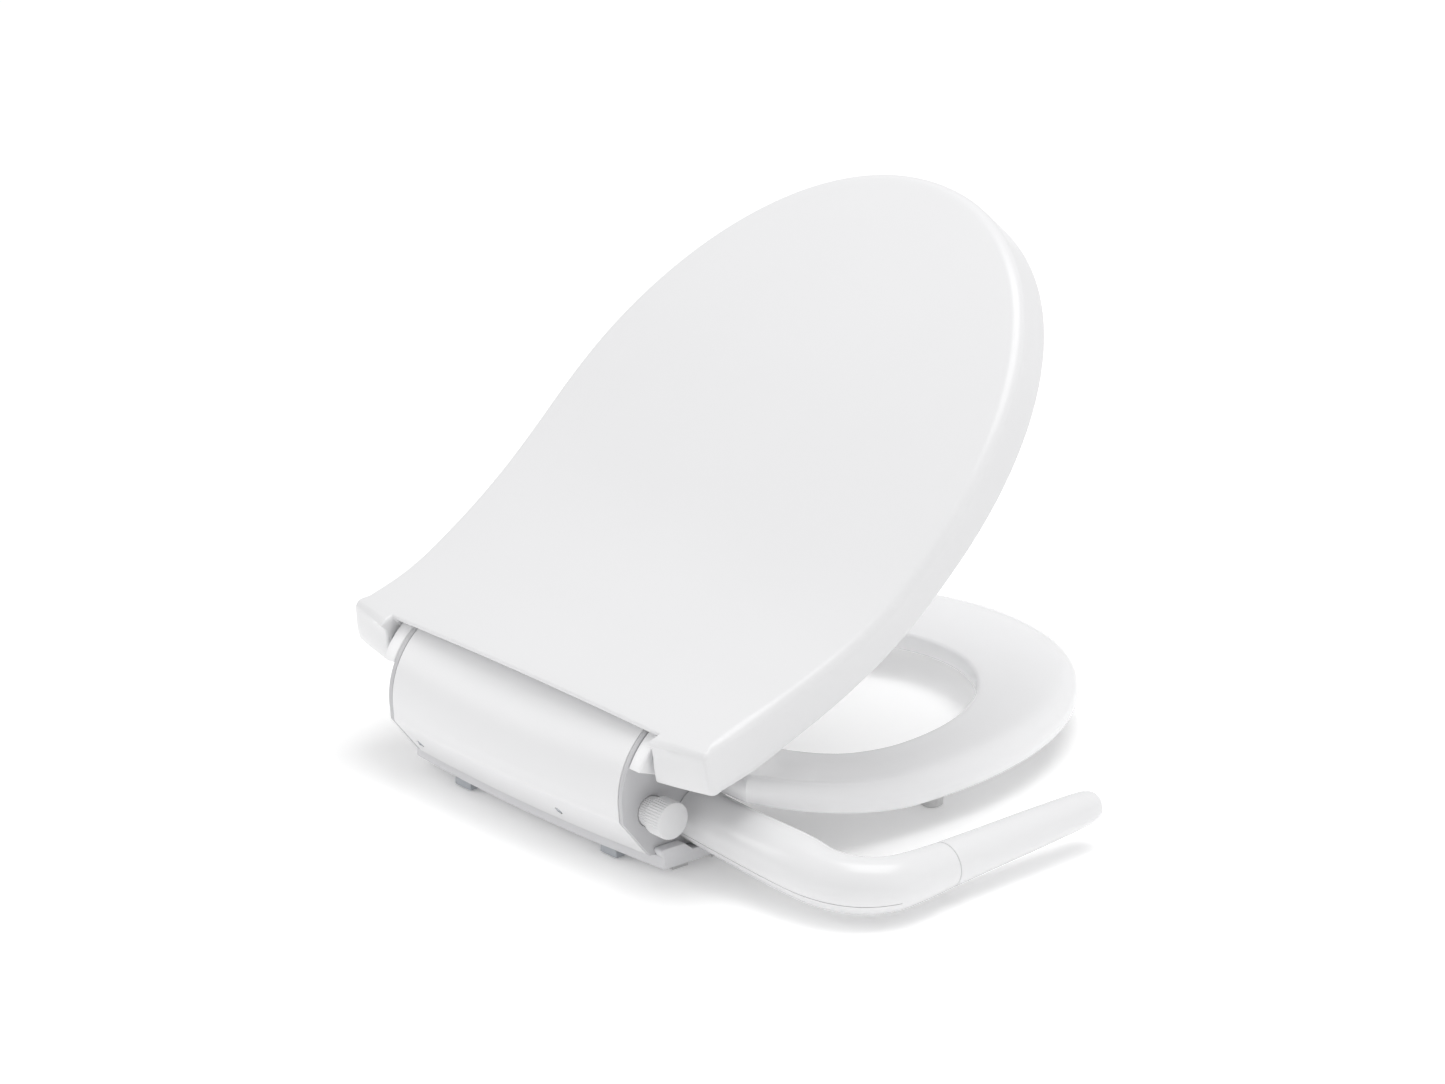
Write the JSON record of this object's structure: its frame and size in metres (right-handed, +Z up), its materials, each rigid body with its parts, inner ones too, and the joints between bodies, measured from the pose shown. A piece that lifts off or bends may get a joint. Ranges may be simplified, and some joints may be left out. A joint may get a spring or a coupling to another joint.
{
  "type": "bidet seat",
  "caption": "Round-front manual bidet seat: hinged lid and ring on a rear water housing, with a pressure knob and a twist grip on a side arm.",
  "frame": {"origin": "midway between the two mounting bolts, on the rim plane that the base pads and seat bumpers rest on", "axes": "+Y to the front of the seat, +X to the seated user's right (the arm side), +Z up"},
  "size_m": [0.4518, 0.4282, 0.3406],
  "materials": {
    "shell": "glossy white injection-moulded plastic",
    "housing": "glossy white injection-moulded plastic",
    "end": "satin white moulded plastic",
    "base": "satin white moulded plastic",
    "arm": "glossy white injection-moulded plastic",
    "knob": "satin off-white plastic with a fluted rim",
    "inner": "plain pale grey moulded plastic",
    "rubber": "soft white rubber",
    "steel": "bright zinc-plated steel",
    "brass": "machined brass",
    "tubing": "translucent white hose"
  },
  "bodies": {
    "housing": {"base_plate": "base", "base_pad_centre": "rubber", "base_pad_rear_left": "rubber", "base_pad_front_left": "rubber", "base_pad_rear_right": "rubber", "base_pad_front_right": "rubber", "mounting_bolt_left": "steel", "mounting_bolt_right": "steel", "bolt_clamp_left": "steel", "bolt_clamp_right": "steel", "rear_cover": "housing", "cover_screw_1": "steel", "cover_screw_2": "steel", "end_cap_left": "end", "end_cap_right": "end", "front_cover": "housing", "chassis_tray": "inner", "inlet_fitting": "knob", "valve_body": "inner", "inlet_hose": "tubing", "rear_wash_hose": "tubing", "front_wash_hose": "tubing", "nozzle_cradle": "inner", "hinge_pin_left": "steel", "hinge_pin_right": "steel", "soft_close_damper_left": "inner", "soft_close_damper_right": "inner", "arm_upper_shell": "arm", "arm_lower_cover": "arm"},
    "lid": {"lid_shell": "shell", "lid_bumper_left": "rubber", "lid_bumper_right": "rubber"},
    "seat": {"seat_ring": "shell", "seat_bumper_front_left": "rubber", "seat_bumper_front_right": "rubber", "seat_bumper_rear_left": "rubber", "seat_bumper_rear_right": "rubber"},
    "grip": {"control_grip": "arm", "grip_spindle": "inner"},
    "knob": {"knob_cap": "knob", "knob_neck": "knob", "knob_spindle": "brass"},
    "rear_wash_wand": {"rear_wash_nozzle": "inner", "rear_wash_tip": "shell"},
    "front_wash_wand": {"front_wash_nozzle": "inner", "front_wash_tip": "shell"}
  },
  "joints": [
    {"name": "seat_hinge", "type": "hinge", "parent": "housing", "child": "seat", "pos_m": [0, -0.0175, 0.0834], "axis": [1, 0, 0], "range_deg": [0, 95]},
    {"name": "lid_hinge", "type": "hinge", "parent": "seat", "child": "lid", "pos_m": [0, -0.0175, 0.0834], "axis": [-1, 0, 0], "range_deg": [-66, 41.7]},
    {"name": "grip_twist", "type": "hinge", "parent": "housing", "child": "grip", "pos_m": [0.2507, 0.0976, 0.022], "axis": [-0.0342, 0.999, 0.028], "range_deg": [-60, 60]},
    {"name": "knob_turn", "type": "hinge", "parent": "housing", "child": "knob", "pos_m": [0.12, -0.0145, 0.0435], "axis": [1, 0, 0], "range_deg": [0, 270]},
    {"name": "rear_wash_slide", "type": "slide", "parent": "housing", "child": "rear_wash_wand", "axis": [0, 0.9806, -0.1959], "range_m": [0, 0.07], "stiffness_N_per_m": 12},
    {"name": "front_wash_slide", "type": "slide", "parent": "housing", "child": "front_wash_wand", "axis": [0, 0.9806, -0.1959], "range_m": [0, 0.07], "stiffness_N_per_m": 12}
  ]
}
